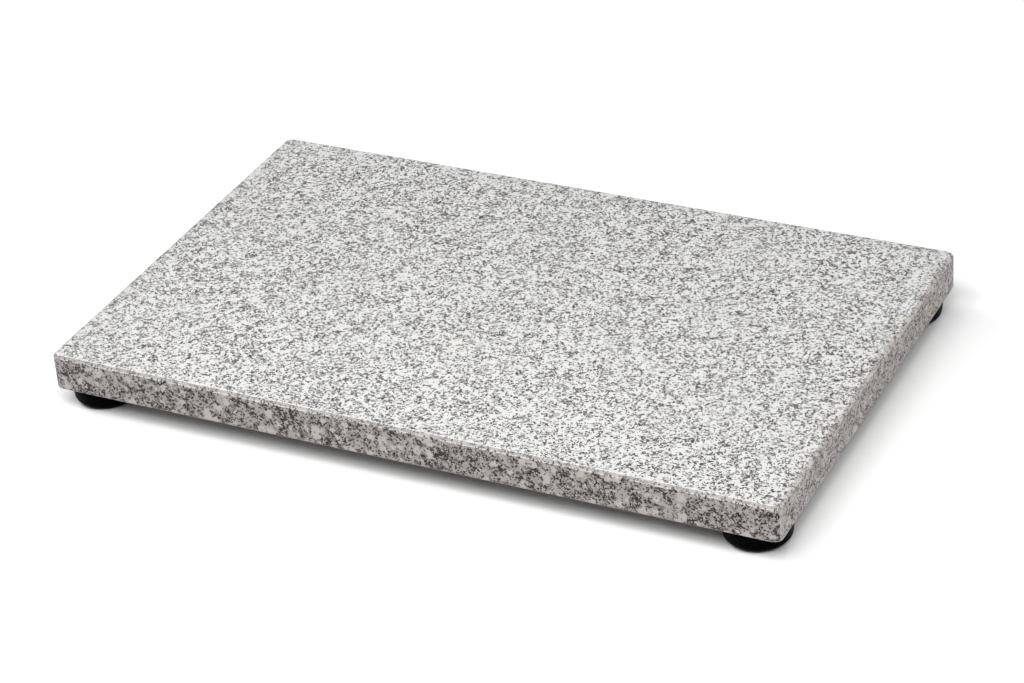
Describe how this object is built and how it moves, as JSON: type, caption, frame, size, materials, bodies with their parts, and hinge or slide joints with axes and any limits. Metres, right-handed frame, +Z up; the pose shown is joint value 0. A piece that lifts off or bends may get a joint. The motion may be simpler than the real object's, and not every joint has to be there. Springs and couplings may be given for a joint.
{
  "type": "granite slab",
  "caption": "Rectangular polished granite slab with bevelled edges on low rubber feet, a hard level surface for stamping, tooling and punching leather.",
  "frame": {"origin": "on the surface the feet stand on, under the centre of the slab", "axes": "+X along the slab's length, +Y from its front edge to its back edge, +Z up out of the working face"},
  "size_m": [0.4064, 0.254, 0.032],
  "materials": {
    "granite": "polished",
    "rubber": "satin",
    "adhesive": "matte"
  },
  "bodies": {
    "root": {"granite_slab": "granite", "foot_front_left": "rubber", "foot_front_right": "rubber", "foot_back_left": "rubber", "foot_back_right": "rubber", "pad_front_left": "adhesive", "pad_front_right": "adhesive", "pad_back_left": "adhesive", "pad_back_right": "adhesive"}
  },
  "joints": []
}
